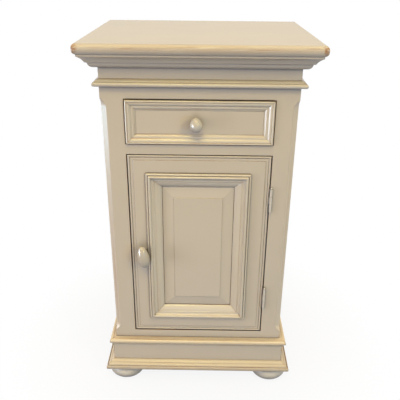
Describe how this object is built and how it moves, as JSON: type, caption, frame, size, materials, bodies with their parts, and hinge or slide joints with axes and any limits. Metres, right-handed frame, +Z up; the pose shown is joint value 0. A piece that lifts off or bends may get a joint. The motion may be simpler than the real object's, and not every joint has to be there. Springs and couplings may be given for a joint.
{
  "type": "bedside cupboard",
  "caption": "Painted pine bedside pot cupboard with a drawer over a panelled door, moulded top and plinth, and turned bun feet",
  "frame": {"origin": "centre of the bounding box in plan, on the floor under the feet", "axes": "+X to the right seen from the front, +Y to the back, +Z up; the front faces -Y"},
  "size_m": [0.4652, 0.3976, 0.802],
  "materials": {
    "painted_pine": "worn satin paint, greige, rubbed through at the edges",
    "bare_pine": "planed and waxed",
    "painted_hinge": "painted over with the cupboard",
    "steel_screw": null
  },
  "bodies": {
    "carcass": {"top_board": "painted_pine", "cornice_front": "painted_pine", "cornice_left": "painted_pine", "cornice_right": "painted_pine", "neck_moulding_front": "painted_pine", "neck_moulding_left": "painted_pine", "neck_moulding_right": "painted_pine", "side_left": "painted_pine", "side_right": "painted_pine", "stile_left": "painted_pine", "stile_right": "painted_pine", "rail_top": "painted_pine", "rail_mid": "painted_pine", "rail_bottom": "painted_pine", "floor_board": "bare_pine", "back_panel": "bare_pine", "drawer_runners": "bare_pine", "drawer_kickers": "bare_pine", "drawer_stops": "bare_pine", "base_moulding_front": "painted_pine", "base_moulding_left": "painted_pine", "base_moulding_right": "painted_pine", "plinth_front": "painted_pine", "plinth_left": "painted_pine", "plinth_right": "painted_pine", "plinth_back": "bare_pine", "foot_moulding_front": "painted_pine", "foot_moulding_left": "painted_pine", "foot_moulding_right": "painted_pine", "foot_blocks": "bare_pine", "foot_front_left": "painted_pine", "foot_front_right": "painted_pine", "foot_back_left": "painted_pine", "foot_back_right": "painted_pine", "hinge_frame_leaves": "painted_hinge", "hinge_pins": "painted_hinge", "frame_hinge_screws": "steel_screw"},
    "drawer": {"drawer_front": "painted_pine", "drawer_moulding_top": "painted_pine", "drawer_moulding_bottom": "painted_pine", "drawer_moulding_left": "painted_pine", "drawer_moulding_right": "painted_pine", "drawer_side_left": "bare_pine", "drawer_side_right": "bare_pine", "drawer_back": "bare_pine", "drawer_bottom": "bare_pine", "drawer_knob": "painted_pine"},
    "door": {"door_stile_left": "painted_pine", "door_stile_right": "painted_pine", "door_rail_top": "painted_pine", "door_rail_bottom": "painted_pine", "door_panel": "painted_pine", "panel_moulding_top": "painted_pine", "panel_moulding_bottom": "painted_pine", "panel_moulding_left": "painted_pine", "panel_moulding_right": "painted_pine", "hinge_door_leaves": "painted_hinge", "door_hinge_screws": "steel_screw"},
    "latch": {"latch_knob": "painted_pine", "latch_tongue": "bare_pine"}
  },
  "joints": [
    {"name": "drawer_slide", "type": "slide", "parent": "carcass", "child": "drawer", "axis": [0, -1, 0], "range_m": [0, 0.24]},
    {"name": "door_hinge", "type": "hinge", "parent": "carcass", "child": "door", "pos_m": [0.1502, -0.1632, 0.3605], "axis": [0, 0, 1], "range_deg": [0, 165]},
    {"name": "latch_turn", "type": "hinge", "parent": "door", "child": "latch", "pos_m": [-0.1195, -0.1602, 0.353], "axis": [0, 1, 0], "range_deg": [0, 90]}
  ]
}
